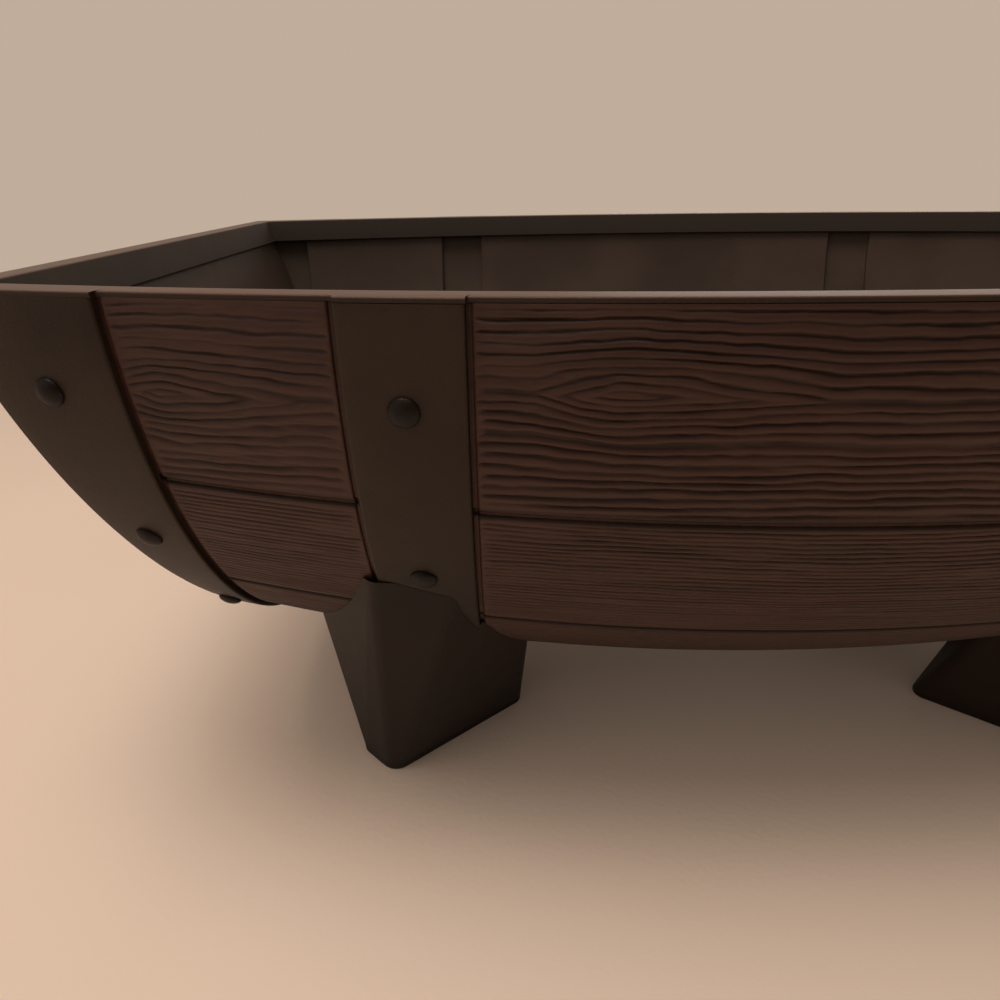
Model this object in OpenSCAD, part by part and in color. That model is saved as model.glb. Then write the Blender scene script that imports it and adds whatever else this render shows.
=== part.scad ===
// Half barrel planter: a dark moulded tub faced with wood-look boards, four hoops and four feet.
// The barrel lies along X with its open half up. The front is at -Y and the floor is at z = 0.
// Places on the barrel are given by the distance x from mid length and by an angle that is
// zero straight down and grows toward the back.

/* [Trough] */
// Length at the rim
trough_l = 600; // [540:1:680]
// Outer radius over the boards at mid length
mid_r = 214; // [200:1:225]
// How much smaller that radius is at the two ends
bulge = 42; // [28:1:50]
// Lean of the two ends from upright, in degrees
end_rake = 18; // [8:1:19]
// Free height under the belly of the boards
belly_gap = 31; // [26:1:60]

/* [Tub] */
// Wall thickness of the tub
wall_t = 3.2; // [2:0.1:3.4]
// Height of the thick collar inside the rim
collar_h = 14; // [8:1:30]
// Width of the flat rim face, from the boards' face inward
rim_face_w = 10.5; // [9:0.1:18]
// Thickness of the rim flange that covers the ends of the boards and hoops
flange_t = 1.6; // [1.2:0.1:3]
// Diameter of the drain holes
drain_d = 10; // [6:0.5:16]
// Distance between the drain holes
drain_pitch = 80; // [50:1:100]

/* [Boards] */
// Number of boards around the half barrel
stave_n = 9; // [7:2:11]
// Board thickness
board_t = 4; // [3:0.1:4.4]
// Width of the groove between two boards at mid length
groove_w = 2.6; // [1.5:0.1:5]
// Gap between a board's end and the hoop beside it
board_end_gap = 1.7; // [1:0.1:3]

/* [Hoops] */
// Distance between the two inner hoops, as a share of the trough's length
hoop_spread = 0.5; // [0.42:0.01:0.56]
// Width of the two inner hoops
hoop_w = 37; // [28:1:44]
// Thickness of all hoops
hoop_t = 2.5; // [2:0.1:3]
// How far the hoops stand out from the boards
hoop_proud = 2.3; // [1.6:0.1:2.8]
// Width of the end hoops at the belly; the lean of the ends widens them toward the rim
end_hoop_low_w = 5.2; // [4:0.1:10]
// Lean of the end hoops' inner edge from upright, in degrees
end_hoop_lean = 2.5; // [1.5:0.5:5]

/* [Heads] */
// Thickness of the panel in each end
head_t = 3.9; // [3:0.1:4.2]
// Radial thickness of the edge that frames the panel
skirt_t = 5.8; // [4:0.1:9]
// Width of the plank grooves in the panel
head_groove_w = 2.4; // [1.5:0.1:4]
// Depth of the plank grooves in the panel
head_groove_d = 1.5; // [0.8:0.1:2.2]
// Number of planks shown on the panel
head_plank_n = 5; // [3:1:8]

/* [Rivets] */
// Diameter of the rivet domes
dome_d = 10; // [7:0.5:14]
// Height of the rivet domes
dome_h = 2.6; // [1.5:0.1:3.4]
// Shank diameter of the rivets
rivet_shank_d = 4; // [3:0.1:5]
// Length of the rivet shanks
rivet_shank_l = 5; // [4.2:0.1:5.4]

/* [Feet] */
// Front corner of a foot at the floor, in from the barrel's widest line
foot_apex_in = 88; // [80:1:96]
// Same corner, outward from the hoop's middle
foot_apex_x = 27; // [18:1:34]
// Outward corner at the floor, in from the barrel's widest line
foot_end_in = 107; // [100:1:116]
// Same corner, outward from the hoop's middle
foot_end_x = 47; // [40:1:54]
// Inward corner at the floor, in from the barrel's widest line
foot_inner_in = 149; // [140:1:156]
// Same corner, inward from the hoop's middle
foot_inner_x = 40; // [32:1:46]
// Rear edge at the floor, in from the barrel's widest line
foot_rear_in = 160; // [152:1:166]
// Front edge of the foot's top, in from the barrel's widest line
foot_top_in = 41; // [37:1:48]
// Rounding of the front corner
foot_round = 8; // [4:0.5:12]
// Rounding of the other corners
foot_corner_r = 5; // [3:0.5:7]

/* [Foot screws] */
// Shank diameter of the foot screws
screw_d = 4; // [3:0.1:5]
// How far a screw reaches into the foot
screw_grip = 12; // [8:0.5:15]
// Head diameter of the foot screws
screw_head_d = 8; // [6.5:0.1:10]
// Head height of the foot screws
screw_head_h = 2.4; // [1.8:0.1:3]
// Angle of the lower screw, from straight down
screw_low_a = 27; // [25:1:29]
// Angle of the upper screw, from straight down
screw_high_a = 38; // [36:1:40]

/* [Fits] */
// Clearance between pieces that are seated on each other
seat_gap = 0.3; // [0.2:0.05:0.5]
// Diameter clearance of a shank in its hole
hole_gap = 0.2; // [0.1:0.05:0.6]

/* [Hidden] */
rim_h = mid_r + belly_gap;
half_l = trough_l / 2;
arc_r = (half_l * half_l + bulge * bulge) / (2 * bulge);
arc_centre = mid_r - arc_r;
hoop_x = trough_l * hoop_spread / 2;
end_slope = tan(end_rake);
hoop_slope = tan(end_hoop_lean);
belly_depth = mid_r - 0.625 * bulge;
end_hoop_w = end_hoop_low_w + (end_slope - hoop_slope) * belly_depth;
end_hoop_x = half_l - end_hoop_w;
reach = 360;
tub_face = -board_t - seat_gap;
tub_inner = tub_face - wall_t;
rib_face = hoop_proud - hoop_t - seat_gap;
rib_inner = rib_face - wall_t;
rib_half = hoop_w / 2 - seat_gap;
channel_half = rib_half - wall_t;
end_channel_step = 24;
end_channel_x = end_hoop_x + end_channel_step;
head_recess = head_t + 2 * seat_gap;
end_wall_x = half_l - head_recess;
end_inner_x = end_wall_x - wall_t;
collar_end_x = end_inner_x - 2.8;
skirt_inner = hoop_proud - hoop_t - seat_gap - skirt_t;
under_flange = -flange_t - seat_gap;
stave_a = 180 / stave_n;
groove_a = groove_w / mid_r * 180 / PI;
rivet_a = 20;
hoop_face_r = arc_centre + sqrt(arc_r * arc_r - hoop_x * hoop_x);
foot_apex_y = mid_r - foot_apex_in;
foot_end_y = mid_r - foot_end_in;
foot_inner_y = mid_r - foot_inner_in;
foot_rear_y = mid_r - foot_rear_in;
foot_top_y = mid_r - foot_top_in;
foot_top_drop = sqrt(hoop_face_r * hoop_face_r - foot_top_y * foot_top_y);
foot_pad_h = 3;
foot_ridge_r = 3;
foot_ridge_out_x = 21;
foot_ridge_in_x = 12;
foot_top_in_x = 42;
foot_top_out_x = 54;
foot_top_in_back = 20;
foot_top_out_back = 26;
foot_rear_run = 40;
drill_l = 2 * (wall_t + hoop_t + screw_grip + screw_head_h);
saddle_gap = seat_gap;
curve_fn = 360;
turn_fn = 180;
hole_fn = 32;
hull_fn = 32;
board_colour = [0.30, 0.17, 0.12];
dark_colour = [0.16, 0.13, 0.11];
metal_colour = [0.45, 0.43, 0.40];
BAYS = ["left", "middle", "right"];

// Section of a layer between two offsets from the boards' face; across is the radius.
module layer_section(inner, outer, x0, x1) {
    intersection() {
        difference() {
            translate([arc_centre, 0])
                circle(r = arc_r + outer, $fn = curve_fn);
            translate([arc_centre, 0])
                circle(r = arc_r + inner, $fn = curve_fn);
        }
        translate([mid_r / 3, x0])
            square([mid_r, x1 - x0]);
    }
}

// Section of everything inside one offset.
module solid_section(outer, x0, x1) {
    intersection() {
        translate([arc_centre, 0])
            circle(r = arc_r + outer, $fn = curve_fn);
        translate([0, x0])
            square([mid_r * 2, x1 - x0]);
    }
}

// Turns a section about the barrel's axis from one angle to another.
module turned(from_a, to_a) {
    rotate([0, 90, 0])
        rotate([0, 0, from_a])
            rotate_extrude(angle = to_a - from_a, $fn = turn_fn)
                children();
}

module half_layer(inner, outer, x0, x1) {
    turned(-90, 90)
        layer_section(inner, outer, x0, x1);
}

module half_solid(outer, x0, x1) {
    turned(-90, 90)
        solid_section(outer, x0, x1);
}

// The space between two leaning planes that stand at plus and minus x at the rim.
module between_planes(x, slope) {
    rotate([90, 0, 0])
        linear_extrude(height = 2 * reach, center = true)
            polygon([
                [-x - slope, 1],
                [x + slope, 1],
                [x - slope * reach, -reach],
                [-x + slope * reach, -reach]
            ]);
}

module below(z) {
    translate([-reach, -reach, z - reach])
        cube([2 * reach, 2 * reach, reach]);
}

// Puts a child on the barrel's face, its own +Z pointing outward.
module on_barrel(x, a, offset_r) {
    rotate([a, 0, 0])
        translate([0, 0, -arc_centre])
            rotate([0, -asin(x / arc_r), 0])
                translate([0, 0, -arc_r - offset_r])
                    rotate([180, 0, 0])
                        children();
}

// Middle of an end hoop's width at one angle around the barrel.
function end_hoop_mid_x(a) =
    let (depth = (mid_r - 0.7 * bulge) * cos(a))
        (end_hoop_x + half_l - (hoop_slope + end_slope) * depth) / 2;

// Rivets sit every rivet_a around the barrel. A foot covers two places on each side of an inner
// hoop, and an end hoop is too narrow for them near the belly.
module rivet_places(side, is_end) {
    for (s = [-1, 1])
        for (k = [is_end ? 2 : 3:4])
            on_barrel(side * (is_end ? end_hoop_mid_x(k * rivet_a) : hoop_x), s * k * rivet_a, hoop_proud)
                children();
    if (!is_end)
        on_barrel(side * hoop_x, 0, hoop_proud)
            children();
}

module screw_places(side, face) {
    for (a = [screw_low_a, screw_high_a])
        on_barrel(side * hoop_x, face * a, rib_inner)
            children();
}

module drill(d) {
    translate([0, 0, -drill_l / 2])
        cylinder(d = d, h = drill_l, $fn = hole_fn);
}

module rivet_drill() {
    translate([0, 0, -rivet_shank_l - seat_gap])
        cylinder(d = rivet_shank_d + hole_gap, h = rivet_shank_l + 5, $fn = hole_fn);
}

module rivet_holes() {
    for (side = [-1, 1])
        for (is_end = [false, true])
            rivet_places(side, is_end)
                rivet_drill();
}

module screw_holes() {
    for (side = [-1, 1])
        for (face = [-1, 1])
            screw_places(side, face)
                drill(screw_d + 2 * hole_gap);
}

module drain_holes() {
    for (k = [-1:1])
        translate([k * drain_pitch, 0, -mid_r - belly_gap / 2])
            cylinder(d = drain_d, h = belly_gap, $fn = hole_fn);
}

// Outside of the tub: raised ribs under the hoops and toward the ends, flat between them.
module tub_outside() {
    half_solid(tub_face, -half_l, half_l);
    for (side = [-1, 1])
        half_layer(tub_face - 1, rib_face, side * hoop_x - rib_half, side * hoop_x + rib_half);
    difference() {
        half_solid(rib_face, -half_l, half_l);
        between_planes(end_hoop_x + seat_gap, hoop_slope);
    }
}

// Inside of the tub below the collar, with a channel behind each hoop.
module tub_inside() {
    half_solid(tub_inner, -half_l, half_l);
    for (side = [-1, 1])
        half_layer(tub_inner - 1, rib_inner, side * hoop_x - channel_half, side * hoop_x + channel_half);
    difference() {
        half_solid(rib_inner, -half_l, half_l);
        between_planes(end_channel_x, hoop_slope);
    }
}

// Flat flange on top, stepping out with the hoops.
module flange_outline() {
    half_solid(0, -half_l, half_l);
    for (side = [-1, 1])
        half_layer(-1, hoop_proud, side * hoop_x - hoop_w / 2, side * hoop_x + hoop_w / 2);
    difference() {
        half_solid(hoop_proud, -half_l, half_l);
        between_planes(end_hoop_x, hoop_slope);
    }
}

module end_recess() {
    difference() {
        intersection() {
            half_solid(skirt_inner, -half_l - 1, half_l + 1);
            below(-flange_t);
        }
        between_planes(end_wall_x, end_slope);
    }
}

module tub() {
    color(dark_colour)
        difference() {
            intersection() {
                union() {
                    tub_outside();
                    difference() {
                        flange_outline();
                        below(-flange_t);
                    }
                }
                between_planes(half_l, end_slope);
            }
            intersection() {
                tub_inside();
                between_planes(end_inner_x, end_slope);
                below(-collar_h);
            }
            intersection() {
                half_solid(-rim_face_w, -half_l, half_l);
                between_planes(collar_end_x, end_slope);
            }
            end_recess();
            rivet_holes();
            screw_holes();
            drain_holes();
        }
}

// One board: a curved slice of the facing layer between two hoops.
module board(bay, k) {
    from_a = -90 + (k - 1) * stave_a + (k == 1 ? 0 : groove_a / 2);
    to_a = -90 + k * stave_a - (k == stave_n ? 0 : groove_a / 2);
    inner_x = hoop_x - hoop_w / 2 - board_end_gap;
    outer_x = hoop_x + hoop_w / 2 + board_end_gap;
    x0 = bay == "middle" ? -inner_x : (bay == "left" ? -half_l : outer_x);
    x1 = bay == "middle" ? inner_x : (bay == "left" ? -outer_x : half_l);
    color(board_colour)
        difference() {
            intersection() {
                turned(from_a, to_a)
                    layer_section(-board_t, 0, x0, x1);
                between_planes(end_hoop_x - board_end_gap, hoop_slope);
                below(under_flange);
            }
            drain_holes();
        }
}

// End panel with its plank grooves, filling the recess inside the skirt.
module head(side) {
    plank_h = mid_r / head_plank_n;
    color(board_colour)
        difference() {
            intersection() {
                half_solid(skirt_inner - seat_gap, -half_l, half_l);
                between_planes(half_l - seat_gap, end_slope);
                below(under_flange);
            }
            between_planes(end_wall_x + seat_gap, end_slope);
            translate([-side * reach, 0, 0])
                cube([2 * reach, 2 * reach, 2 * reach], center = true);
            for (k = [1:head_plank_n - 1])
                intersection() {
                    translate([-reach, -reach, -k * plank_h - head_groove_w / 2])
                        cube([2 * reach, 2 * reach, head_groove_w]);
                    difference() {
                        half_solid(0, -half_l - 1, half_l + 1);
                        between_planes(half_l - seat_gap - head_groove_d, end_slope);
                    }
                }
        }
}

module inner_hoop(side) {
    color(dark_colour)
        difference() {
            intersection() {
                half_layer(hoop_proud - hoop_t, hoop_proud, side * hoop_x - hoop_w / 2, side * hoop_x + hoop_w / 2);
                below(under_flange);
            }
            rivet_places(side, false)
                rivet_drill();
            for (face = [-1, 1])
                screw_places(side, face)
                    drill(screw_d + 2 * hole_gap);
        }
}

module end_hoop(side) {
    x0 = side < 0 ? -half_l : 0;
    color(dark_colour)
        difference() {
            intersection() {
                half_layer(hoop_proud - hoop_t, hoop_proud, x0, x0 + half_l);
                between_planes(half_l, end_slope);
                below(under_flange);
            }
            between_planes(end_hoop_x, hoop_slope);
            rivet_places(side, true)
                rivet_drill();
        }
}

// Domed rivet: its section is a cap of a sphere above the hoop and a straight shank below.
module rivet() {
    cap_r = (dome_d * dome_d / 4 + dome_h * dome_h) / (2 * dome_h);
    rotate_extrude($fn = hole_fn)
        union() {
            intersection() {
                translate([0, dome_h - cap_r])
                    circle(r = cap_r, $fn = 96);
                square([dome_d, dome_h]);
            }
            translate([0, -rivet_shank_l])
                square([rivet_shank_d / 2, rivet_shank_l + 0.2]);
        }
}

module rivets(side, is_end) {
    color(dark_colour)
        rivet_places(side, is_end)
            rivet();
}

// Body of one foot before the barrel is taken out of it: rounded sole corners joined to a
// wider top, so that every face leans outward on its way up.
module foot_body() {
    rim_z = -foot_top_drop;
    hull() {
        translate([hoop_x + foot_apex_x, foot_apex_y - foot_round * 1.3, -rim_h])
            cylinder(r = foot_round, h = foot_pad_h, $fn = hull_fn);
        translate([hoop_x + foot_end_x - foot_corner_r * 1.5, foot_end_y, -rim_h])
            cylinder(r = foot_corner_r, h = foot_pad_h, $fn = hull_fn);
        translate([hoop_x - foot_inner_x + foot_corner_r * 1.6, foot_inner_y + foot_corner_r / 2, -rim_h])
            cylinder(r = foot_corner_r, h = foot_pad_h, $fn = hull_fn);
        translate([hoop_x, foot_rear_y + foot_corner_r, -rim_h])
            cylinder(r = foot_corner_r, h = foot_pad_h, $fn = hull_fn);
        translate([hoop_x + foot_ridge_out_x, foot_top_y - foot_ridge_r, rim_z])
            cylinder(r = foot_ridge_r, h = foot_pad_h, $fn = hull_fn);
        translate([hoop_x - foot_ridge_in_x, foot_top_y - foot_ridge_r, rim_z])
            cylinder(r = foot_corner_r, h = foot_pad_h, $fn = hull_fn);
        translate([hoop_x + foot_top_out_x - foot_corner_r, foot_top_y - foot_top_out_back, rim_z])
            cylinder(r = foot_corner_r, h = foot_pad_h, $fn = hull_fn);
        translate([hoop_x - foot_top_in_x + foot_corner_r, foot_top_y - foot_top_in_back, rim_z])
            cylinder(r = foot_corner_r, h = foot_pad_h, $fn = hull_fn);
        translate([hoop_x, foot_rear_y + foot_rear_run, rim_z])
            cylinder(r = foot_corner_r, h = foot_pad_h, $fn = hull_fn);
    }
}

// A foot stands on the given side along X and the given face along Y, saddled to the barrel.
module foot(side, face) {
    color(dark_colour)
        difference() {
            mirror([side < 0 ? 1 : 0, 0, 0])
                mirror([0, face < 0 ? 1 : 0, 0])
                    foot_body();
            half_solid(saddle_gap, -half_l, half_l);
            half_layer(-1, hoop_proud + saddle_gap, side * hoop_x - hoop_w / 2 - saddle_gap,
                side * hoop_x + hoop_w / 2 + saddle_gap);
            screw_places(side, face)
                cylinder(d = screw_d + hole_gap, h = wall_t + hoop_t + screw_grip + 4, $fn = hole_fn);
        }
}

module foot_screw() {
    grip = wall_t + hoop_t + 2 * seat_gap + screw_grip;
    translate([0, 0, -screw_head_h - 0.1])
        difference() {
            cylinder(d = screw_head_d, h = screw_head_h, $fn = hole_fn);
            for (t = [0, 90])
                rotate([0, 0, t])
                    translate([-screw_head_d * 0.3, -0.5, -1])
                        cube([screw_head_d * 0.6, 1, 1 + screw_head_h / 2]);
        }
    translate([0, 0, -0.2])
        cylinder(d = screw_d, h = grip, $fn = hole_fn);
}

module foot_screws() {
    color(metal_colour)
        for (side = [-1, 1])
            for (face = [-1, 1])
                screw_places(side, face)
                    foot_screw();
}

translate([0, 0, rim_h]) {
    tub();
    for (bay = BAYS)
        for (k = [1:stave_n])
            board(bay, k);
    head(-1);  // left_head
    head(1);  // right_head
    end_hoop(-1);  // left_end_hoop
    inner_hoop(-1);  // left_hoop
    inner_hoop(1);  // right_hoop
    end_hoop(1);  // right_end_hoop
    rivets(-1, true);  // left_end_rivets
    rivets(-1, false);  // left_rivets
    rivets(1, false);  // right_rivets
    rivets(1, true);  // right_end_rivets
    foot(-1, -1);  // front_left_foot
    foot(1, -1);  // front_right_foot
    foot(-1, 1);  // back_left_foot
    foot(1, 1);  // back_right_foot
    foot_screws();
}
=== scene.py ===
from math import asin, ceil, cos, hypot, pi, radians, sin, tan

import bmesh
import bpy
import numpy as np
from mathutils import Matrix, Vector


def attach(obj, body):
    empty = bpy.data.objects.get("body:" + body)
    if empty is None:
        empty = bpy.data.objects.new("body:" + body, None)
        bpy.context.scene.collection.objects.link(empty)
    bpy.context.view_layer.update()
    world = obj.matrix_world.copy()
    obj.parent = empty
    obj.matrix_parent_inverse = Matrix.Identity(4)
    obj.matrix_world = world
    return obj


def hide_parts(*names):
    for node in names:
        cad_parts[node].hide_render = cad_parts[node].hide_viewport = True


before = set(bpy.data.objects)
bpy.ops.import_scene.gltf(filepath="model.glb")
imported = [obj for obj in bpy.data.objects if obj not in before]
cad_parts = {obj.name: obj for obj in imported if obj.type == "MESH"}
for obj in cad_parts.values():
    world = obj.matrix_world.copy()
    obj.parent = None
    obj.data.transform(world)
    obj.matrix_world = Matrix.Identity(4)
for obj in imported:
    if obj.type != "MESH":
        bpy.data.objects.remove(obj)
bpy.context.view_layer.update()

# The barrel: its face is an arc turned about a line at rim height, so every piece on it can be placed
# by x along the barrel, an angle from straight down (minus is the front) and a height off the face.
barrel = {
    "halfLength": 0.300,
    "radius": 0.214,  # over the boards at mid length
    "bulge": 0.042,  # how much smaller at the ends
    "rim": 0.245,  # height of the rim over the floor
    "endLean": tan(radians(18.0)),
    "hoopLean": tan(radians(2.5)),
    "hoopX": 0.150,
    "hoopHalf": 0.0185,  # half the inner hoops' width
    "hoopFace": 0.0023,  # how far the hoops stand out
    "endHoopX": 0.242,  # the end hoops' inner edge at the rim
    "flange": 0.0016,  # thickness of the rim over the boards
}
halfLength, midRadius, rimZ, hoopX, hoopHalf, hoopFace, endHoopX = (barrel[key] for key in (
    "halfLength", "radius", "rim", "hoopX", "hoopHalf", "hoopFace", "endHoopX"))
endLean, hoopLean = barrel["endLean"], barrel["hoopLean"]
arcRadius = (halfLength ** 2 + barrel["bulge"] ** 2) / (2 * barrel["bulge"])
latticeSize = 128  # of the table behind the noise
mergeDistance = 2e-7
leanRounds = 6  # enough for a leaning plane's x to settle
even = (1.0, 1.0, 1.0)  # a texture that isn't stretched


def faceRadius(x, off=0.0):
    # distance from the turning line at x, for a layer off outside the face
    return midRadius - arcRadius + np.sqrt((arcRadius + off) ** 2 - x * x)


def onBarrel(x, angle, off):
    # radius times sine goes to the back, radius times cosine goes down from the rim
    r = faceRadius(x, off)
    return np.stack([x, r * np.sin(angle), rimZ - r * np.cos(angle)], axis=-1)


def leaningX(atRim, lean, angle, off=0.0):
    # x of a plane that meets the rim at atRim and moves in by lean for each metre of depth
    x = np.full(np.shape(angle), float(atRim))
    for _ in range(leanRounds):
        x = atRim - lean * faceRadius(x, off) * np.cos(angle)
    return x


def smooth(low, high, value):
    # cubic step from 0 at low to 1 at high
    t = np.clip((value - low) / (high - low), 0.0, 1.0)
    return t * t * (3.0 - 2.0 * t)


def fieldNoise(seed, u, v):
    # random values between -1 and 1 on a square lattice, joined by the cubic step
    table = np.random.default_rng(seed).uniform(-1.0, 1.0, (latticeSize, latticeSize))
    iu, iv = np.floor(u).astype(int), np.floor(v).astype(int)
    fu, fv = smooth(0.0, 1.0, u - iu), smooth(0.0, 1.0, v - iv)
    nextU, nextV = (iu + 1) % latticeSize, (iv + 1) % latticeSize
    iu, iv = iu % latticeSize, iv % latticeSize
    low = table[iu, iv] * (1 - fu) + table[nextU, iv] * fu
    high = table[iu, nextV] * (1 - fu) + table[nextU, nextV] * fu
    return low * (1 - fv) + high * fv


def fullTurn(count):
    return np.linspace(0.0, 2 * pi, count + 1)[:-1]


def gridQuads(rows, columns, closed=False):
    # four corners of each cell of a grid whose points are stored row by row
    row = np.arange(rows - 1)[:, None] * columns
    column = np.arange(columns if closed else columns - 1)[None, :]
    beside = (column + 1) % columns
    corners = [row + column, row + beside, row + columns + beside, row + columns + column]
    return np.stack(corners, -1).reshape(-1, 4)


def endRings(rows, columns):
    # the two faces that close a grid of closed rows
    ring = np.arange(columns)
    return ring[::-1], ring + (rows - 1) * columns


def closedGrid(points):
    # points, faces and the two end faces of a grid of closed rows
    rows, columns = points.shape[:2]
    return points.reshape(-1, 3), gridQuads(rows, columns, True), endRings(rows, columns)


def addPiece(name, points, quads, caps=(), material=None, sharp=32.0, values=None):
    # points and faces go in as whole arrays; doubles are merged and the faces turned outward.
    # edges that bend by more than sharp degrees stay crisp
    mesh = bpy.data.meshes.new(name)
    corners = np.concatenate([quads.reshape(-1)] + [np.asarray(c).reshape(-1) for c in caps])
    sizes = np.concatenate([np.full(len(quads), 4), [len(c) for c in caps]]).astype(np.int32)
    starts = np.concatenate([[0], np.cumsum(sizes)[:-1]]).astype(np.int32)
    mesh.vertices.add(len(points))
    mesh.loops.add(len(corners))
    mesh.polygons.add(len(sizes))
    mesh.vertices.foreach_set("co", np.asarray(points, dtype=np.float32).ravel())
    mesh.loops.foreach_set("vertex_index", corners.astype(np.int32))
    mesh.polygons.foreach_set("loop_start", starts)
    mesh.update(calc_edges=True)
    mesh.validate()
    for label, data in (values or {}).items():
        layer = mesh.attributes.new(label, "FLOAT", "POINT")
        layer.data.foreach_set("value", np.asarray(data, dtype=np.float32).ravel())
    shell = bmesh.new()
    shell.from_mesh(mesh)
    bmesh.ops.remove_doubles(shell, verts=shell.verts, dist=mergeDistance)
    if shell.calc_volume(signed=True) < 0:
        bmesh.ops.reverse_faces(shell, faces=shell.faces)
    shell.to_mesh(mesh)
    shell.free()
    mesh.polygons.foreach_set("use_smooth", np.ones(len(mesh.polygons), dtype=bool))
    mesh.set_sharp_from_angle(angle=radians(sharp))
    mesh.materials.append(material)
    piece = bpy.data.objects.new(name, mesh)
    bpy.context.scene.collection.objects.link(piece)
    return piece


def takePlace(piece, slot, *nodes):
    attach(piece, "root")
    if nodes:
        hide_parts(*nodes)


# Shader maths: a Value wraps one socket, and an expression on it adds the Math nodes.
class Value:
    def __init__(self, tree, socket):
        self.tree, self.socket = tree, socket

    def math(self, operation, first, second):
        node = self.tree.nodes.new("ShaderNodeMath")
        node.operation = operation
        for place, item in enumerate((first, second)):
            if isinstance(item, Value):
                self.tree.links.new(item.socket, node.inputs[place])
            else:
                node.inputs[place].default_value = item
        return Value(self.tree, node.outputs[0])

    def __add__(self, other): return self.math("ADD", self, other)
    def __radd__(self, other): return self.math("ADD", self, other)
    def __rsub__(self, other): return self.math("SUBTRACT", other, self)
    def __mul__(self, other): return self.math("MULTIPLY", self, other)

    def larger(self, other):
        return self.math("MAXIMUM", self, other)

    def step(self, low, high):
        # cubic step from 0 at low to 1 at high
        node = self.tree.nodes.new("ShaderNodeMapRange")
        node.interpolation_type = "SMOOTHSTEP"
        self.tree.links.new(self.socket, node.inputs["Value"])
        node.inputs["From Min"].default_value = low
        node.inputs["From Max"].default_value = high
        return Value(self.tree, node.outputs[0])


class NodeTree:
    # short ways to add a node to a tree and to feed its sockets
    def __init__(self, tree):
        self.tree = tree

    def node(self, kind, settings=None, inputs=None):
        # settings first, then numbers or links for the sockets
        made = self.tree.nodes.new(kind)
        for key, setting in (settings or {}).items():
            setattr(made, key, setting)
        for key, item in (inputs or {}).items():
            if isinstance(item, Value):
                self.tree.links.new(item.socket, made.inputs[key])
            elif isinstance(item, bpy.types.NodeSocket):
                self.tree.links.new(item, made.inputs[key])
            else:
                made.inputs[key].default_value = item
        return made

    def value(self, socket):
        return Value(self.tree, socket)

    def blend(self, factor, first, second):
        # the colour inputs of a Mix node are its sockets 6 and 7, and the colour output is 2
        made = self.node("ShaderNodeMix", {"data_type": "RGBA"}, {0: factor, 6: first, 7: second})
        return made.outputs[2]

    def spot(self):
        return self.node("ShaderNodeTexCoord").outputs["Object"]

    def place(self, stretch):
        return self.node("ShaderNodeMapping", None, {"Vector": self.spot(), "Scale": stretch}).outputs[0]

    def axis(self, letter):
        # one coordinate of the spot, so Z is the height over the floor
        return self.value(self.node("ShaderNodeSeparateXYZ", None, {0: self.spot()}).outputs[letter])


class Finish(NodeTree):
    # one material: the Principled shader and the textures that feed it
    def __init__(self, name, **constants):
        self.material = bpy.data.materials.new(name)
        self.material.use_nodes = True
        super().__init__(self.material.node_tree)
        self.shader = self.tree.nodes["Principled BSDF"]
        for socket, number in constants.items():
            self.shader.inputs[socket.replace("_", " ")].default_value = number

    def noise(self, scale, stretch=even, detail=3.0, rough=0.5):
        made = self.node("ShaderNodeTexNoise", None, {
            "Vector": self.place(stretch), "Scale": scale, "Detail": detail, "Roughness": rough})
        return self.value(made.outputs[0])

    def cells(self, scale):
        made = self.node("ShaderNodeTexVoronoi", {"feature": "F1"}, {
            "Vector": self.place(even), "Scale": scale})
        return self.value(made.outputs["Distance"])

    def attribute(self, label):
        return self.value(self.node("ShaderNodeAttribute", {"attribute_name": label}).outputs["Fac"])

    def finish(self, colour, roughness, height, distance):
        self.tree.links.new(colour, self.shader.inputs["Base Color"])
        self.tree.links.new(roughness.socket, self.shader.inputs["Roughness"])
        bump = self.node("ShaderNodeBump", None, {"Height": height, "Distance": distance, "Strength": 1.0})
        self.tree.links.new(bump.outputs[0], self.shader.inputs["Normal"])
        return self.material


def rgb(red, green, blue):
    # screen colour 0 to 255 to the linear colour a shader wants
    def linear(c):
        c = c / 255.0
        return c / 12.92 if c <= 0.04045 else ((c + 0.055) / 1.055) ** 2.4
    return (linear(red), linear(green), linear(blue), 1.0)


boardSkin = {
    "ridge": rgb(68, 42, 30),
    "face": rgb(56, 33, 23),
    # the valley colour is painted shade: the grain's recesses and the belly are darkened toward it; the
    # specks use it too
    "valley": rgb(35, 20, 14),
    "tint": rgb(66, 35, 24),
    # noise: scale, stretch, detail and roughness; fade: where it starts and ends
    "streak": (60.0, (0.16, 4.0, 4.0), 4.0, 0.6),
    "streakFade": (0.3, 0.75),
    "patch": (9.0, (1.0, 2.0, 2.0), 2.0, 0.5),
    "patchFade": (0.45, 0.8),
    "tintShare": 0.55,
    "valleyFade": (0.0, 0.90),
    "valleyPaintedShadeShare": 0.82,  # how dark the grain's valleys get
    "speck": (700.0, (0.25, 1.0, 1.0), 2.0, 0.6),
    "speckFade": (0.62, 0.8),
    "speckShare": 0.25,
    # painted shade: the belly is darkened toward the valley colour between these two heights
    "bellyPaintedShadeShare": 0.8,  # how dark the belly gets between these two heights
    "bellyPaintedShadeHeights": (0.045, 0.125),
    "roughness": (0.44, 0.16, 0.12),  # at least, with the streaks and in the valleys
    "ior": 1.40,
    "speckRelief": 0.5,
    "streakRelief": 0.5,
    "bump": 0.00018,
}


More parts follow.
